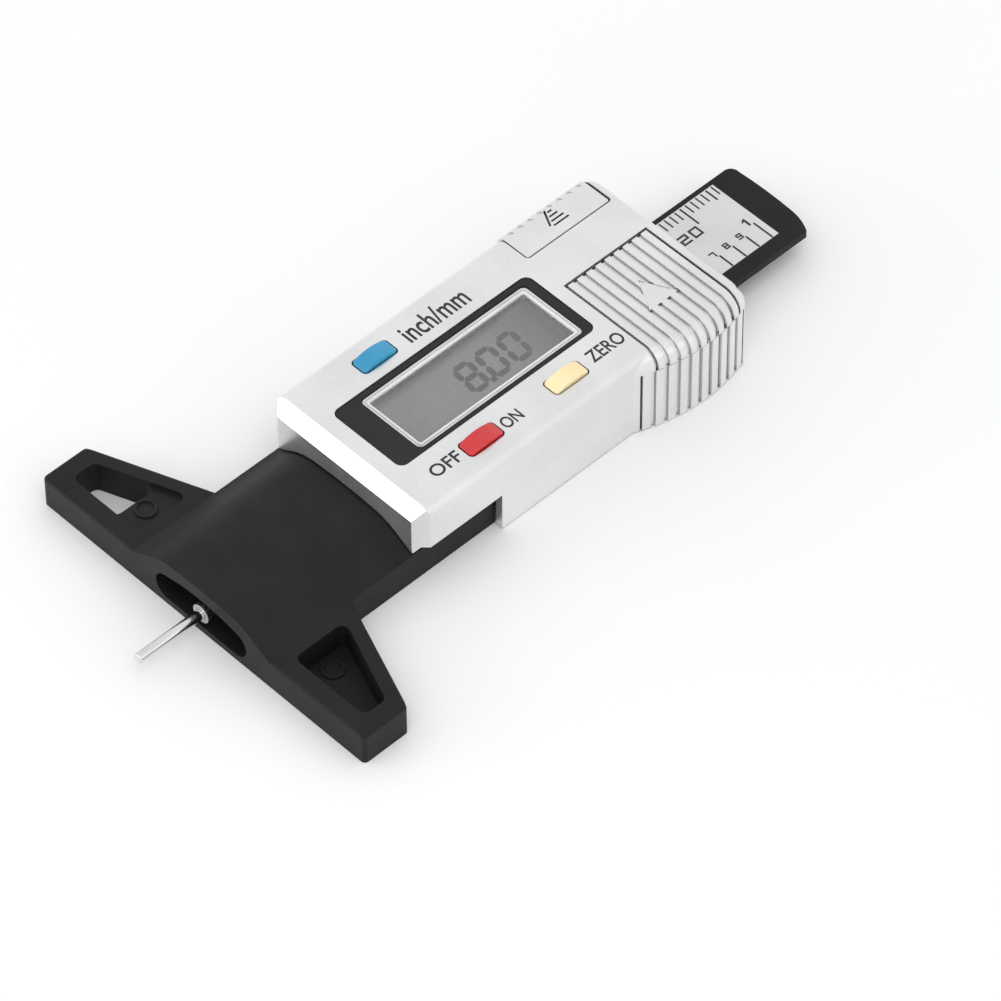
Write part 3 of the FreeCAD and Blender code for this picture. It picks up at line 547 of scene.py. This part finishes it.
# How far a figure's middle is in from the ticks' edge and back from its own tick.
MM_FIGURE_IN, INCH_FIGURE_IN, ONE_FIGURE_IN = 4.56 * MM, 3.22 * MM, 4.4 * MM
MM_FIGURE_BACK, INCH_FIGURE_BACK, ONE_FIGURE_BACK = 1.45 * MM, 0.62 * MM, 0.6 * MM
FIGURE_STEP = 2.1 * MM  # from one figure to the next in a number
ONE_FLAG = ((-0.75, -0.18), (-0.38, -0.18), (-0.12, -0.5), (-0.34, -0.62))  # corners in mm
# The strokes of each squared figure, lettered as on a seven-segment display.
FIGURES = {
    "0": "abcdef", "1": "bc", "2": "abged", "3": "abgcd", "4": "fgbc",
    "5": "afgcd", "6": "afgedc", "7": "abc", "8": "abcdefg", "9": "abcdfg",
}


def add_figure(shape, figure, x, y, size, z):
    """A squared figure that reads along +Y with its top toward -X, drawn as strokes that only touch."""
    wide, tall, stroke = size
    lit = FIGURES[figure]
    half_wide, half_tall, half = 0.5 * wide, 0.5 * tall, 0.5 * stroke

    def stroke_box(u0, u1, v0, v1):
        add_box_mark(shape, x - v1, x - v0, y + u0, y + u1, z)

    for key, v in (("a", half_tall - half), ("g", 0.0), ("d", half - half_tall)):
        if key in lit:
            stroke_box(-half_wide, half_wide, v - half, v + half)
    for key, side, up, cap in (("f", -1, 1, "a"), ("b", 1, 1, "a"), ("e", -1, -1, "d"), ("c", 1, -1, "d")):
        if key in lit:
            u = side * (half_wide - half)
            inner = half if "g" in lit else 0.0
            outer = half_tall - (stroke if cap in lit else 0.0)
            v0, v1 = sorted((up * inner, up * outer))
            stroke_box(u - half, u + half, v0, v1)


def add_scale():
    """Millimetres along the label's left edge and tenths of an inch along its right edge."""
    low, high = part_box("scale_label")
    top = high.z
    left, right = low.x + LEFT_MARGIN, high.x - RIGHT_MARGIN
    ticks = bmesh.new()

    def add_tick(x0, x1, y, stroke):
        add_box_mark(ticks, x0, x1, y - 0.5 * stroke, y + 0.5 * stroke, top)

    for i in range(MM_TICKS):
        reach = TEN_REACH if i % 10 == 0 else FIVE_REACH if i % 5 == 0 else ONE_REACH
        add_tick(left, left + reach, SCALE_ZERO + i * MM, STROKE if i % 5 == 0 else FINE_STROKE)
    for i in range(INCH_TICKS):
        reach = INCH_REACH if i % 10 == 0 else TENTH_REACH
        add_tick(right - reach, right, SCALE_ZERO + 0.1 * i * INCH, STROKE)
    add_piece("scale_ticks", ticks, INK, "base")

    figures = bmesh.new()
    for i in (0, 10, 20):
        for place, figure in enumerate(reversed(str(i))):
            y = SCALE_ZERO + i * MM - MM_FIGURE_BACK - place * FIGURE_STEP
            add_figure(figures, figure, left + MM_FIGURE_IN, y, MM_FIGURE, top)
    for i in range(1, 10):
        y = SCALE_ZERO + 0.1 * i * INCH - INCH_FIGURE_BACK
        add_figure(figures, str(i), right - INCH_FIGURE_IN, y, INCH_FIGURE, top)
    one_x, one_y = right - ONE_FIGURE_IN, SCALE_ZERO + INCH - ONE_FIGURE_BACK
    add_figure(figures, "1", one_x, one_y, ONE_FIGURE, top)
    add_mark(figures, [(one_x + x * MM, one_y + y * MM) for x, y in ONE_FLAG], top)
    add_piece("scale_figures", figures, INK, "base")


# ---- display --------------------------------------------------------------------------------
DIGIT_TALL = 4.7 * MM
DIGIT_WIDE = 2.45 * MM
SEGMENT_HALF = 0.44 * MM
SEGMENT_GAP = 0.06 * MM
DIGIT_LEAN = 0.08
DIGITS = (("8", 0.85 * MM), ("0", 4.75 * MM), ("0", 8.7 * MM))  # each figure and its middle along Y
DIGITS_X = 0.6 * MM
POINT_Y = 2.75 * MM  # the decimal point
# The two ends of each segment, in half widths and half heights of a figure.
SEGMENT_ENDS = {
    "a": ((-1, 1), (1, 1)), "b": ((1, 1), (1, 0)), "c": ((1, 0), (1, -1)), "d": ((-1, -1), (1, -1)),
    "e": ((-1, 0), (-1, -1)), "f": ((-1, 1), (-1, 0)), "g": ((-1, 0), (1, 0)),
}


def segment_outline(p, q):
    """A pointed six-sided segment from p to q, in the digit's own plane."""
    along = (q - p).normalized()
    side = Vector((-along.y, along.x)) * SEGMENT_HALF
    tip_p, tip_q = p + along * SEGMENT_GAP, q - along * SEGMENT_GAP
    near, far = tip_p + along * SEGMENT_HALF, tip_q - along * SEGMENT_HALF
    return [tip_p, near + side, far + side, tip_q, far - side, near - side]


def add_digits():
    """The display's faint figures, which read along +Y with their tops toward -X."""
    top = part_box("lcd_panel")[1].z
    reach_u, reach_v = 0.5 * DIGIT_WIDE, 0.5 * DIGIT_TALL
    shape = bmesh.new()
    for figure, middle in DIGITS:
        for key in FIGURES[figure]:
            p, q = (Vector((u * reach_u, v * reach_v)) for u, v in SEGMENT_ENDS[key])
            outline = [
                (DIGITS_X - point.y, middle + point.x + DIGIT_LEAN * point.y)
                for point in segment_outline(p, q)
            ]
            add_mark(shape, outline, top)
    x, half = DIGITS_X + reach_v, SEGMENT_HALF
    add_box_mark(shape, x - half, x + half, POINT_Y - half, POINT_Y + half, top)
    add_piece("lcd_digits", shape, SEGMENT, "slider")


# ---- battery cell ---------------------------------------------------------------------------
PLUS_ARM = 1.1 * MM
PLUS_HALF = 0.16 * MM


def add_plus():
    """The pole mark on the cell's face, which shows once the battery cover is off."""
    low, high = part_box("button_cell")
    x, y = 0.5 * (low.x + high.x), 0.5 * (low.y + high.y)
    corner = [(PLUS_ARM, PLUS_HALF), (PLUS_HALF, PLUS_HALF), (PLUS_HALF, PLUS_ARM)]
    outline = []
    for _ in range(4):
        outline += [(x + u, y + v) for u, v in corner]
        corner = [(-v, u) for u, v in corner]
    shape = bmesh.new()
    add_mark(shape, outline, high.z)
    add_piece("cell_plus", shape, INK, "slider")


# ---- function labels ------------------------------------------------------------------------
# Name, text, then the middle's x and y, the length along Y and the height across, all in mm.
LABELS = (
    ("unit_text", "inch/mm", -9.95, 4.1, 11.1, 3.3),
    ("off_text", "OFF", 10.15, -12.95, 5.0, 2.1),
    ("on_text", "ON", 10.45, -1.32, 3.25, 2.05),
    ("zero_text", "ZERO", 9.95, 16.4, 6.1, 2.2),
)


def add_labels():
    """The generic words beside the keys."""
    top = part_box("front_cover")[1].z
    for name, text, x, y, length, height in LABELS:
        shape = lettering(name, text, x * MM, y * MM, top, length * MM, height * MM)
        add_piece(name, shape, INK, "slider")


# ---- studio ---------------------------------------------------------------------------------
FLOOR_HALF = 3.0
FLOOR_Z = -0.05 * MM
FLOOR_CORNERS = ((-1, -1), (1, -1), (1, 1), (-1, 1))
WORLD_LIGHT = 0.92
# Name, place, size and power in watts.
LAMPS = (
    ("overhead", (0.3, -0.25, 0.8), (0.6, 0.5), 1.3),
    ("front", (-0.35, -0.65, 0.16), (0.55, 0.22), 1.1),
    ("side", (0.7, 0.1, 0.35), (0.5, 0.4), 0.2),
)


def add_floor():
    """A plain pale floor, which is the stage and no part of the gauge."""
    shape = bmesh.new()
    shape.faces.new([shape.verts.new((x * FLOOR_HALF, y * FLOOR_HALF, FLOOR_Z)) for x, y in FLOOR_CORNERS])
    data = bpy.data.meshes.new("floor")
    shape.to_mesh(data)
    shape.free()
    data.materials.append(floor_face("floor_face"))
    floor = bpy.data.objects.new("floor", data)
    bpy.context.scene.collection.objects.link(floor)


def add_lamp(name, place, size, power):
    """A soft panel light that faces the gauge."""
    data = bpy.data.lights.new(name, "AREA")
    data.shape = "RECTANGLE"
    data.size, data.size_y = size
    data.energy = power
    lamp = bpy.data.objects.new(name, data)
    place = Vector(place)
    lamp.matrix_world = Matrix.Translation(place) @ place.to_track_quat("Z", "Y").to_matrix().to_4x4()
    bpy.context.scene.collection.objects.link(lamp)


def add_studio():
    """Even white light from all round and three weak soft lamps."""
    world = bpy.data.worlds.new("studio")
    world.use_nodes = True
    background = world.node_tree.nodes["Background"]
    background.inputs["Color"].default_value = (1.0, 1.0, 1.0, 1.0)
    background.inputs["Strength"].default_value = WORLD_LIGHT
    bpy.context.scene.world = world
    for name, place, size, power in LAMPS:
        add_lamp(name, place, size, power)
    bpy.context.scene.view_settings.view_transform = "Standard"


add_camera()
dress_nodes()
add_scale()
add_digits()
add_plus()
add_labels()
add_floor()
add_studio()
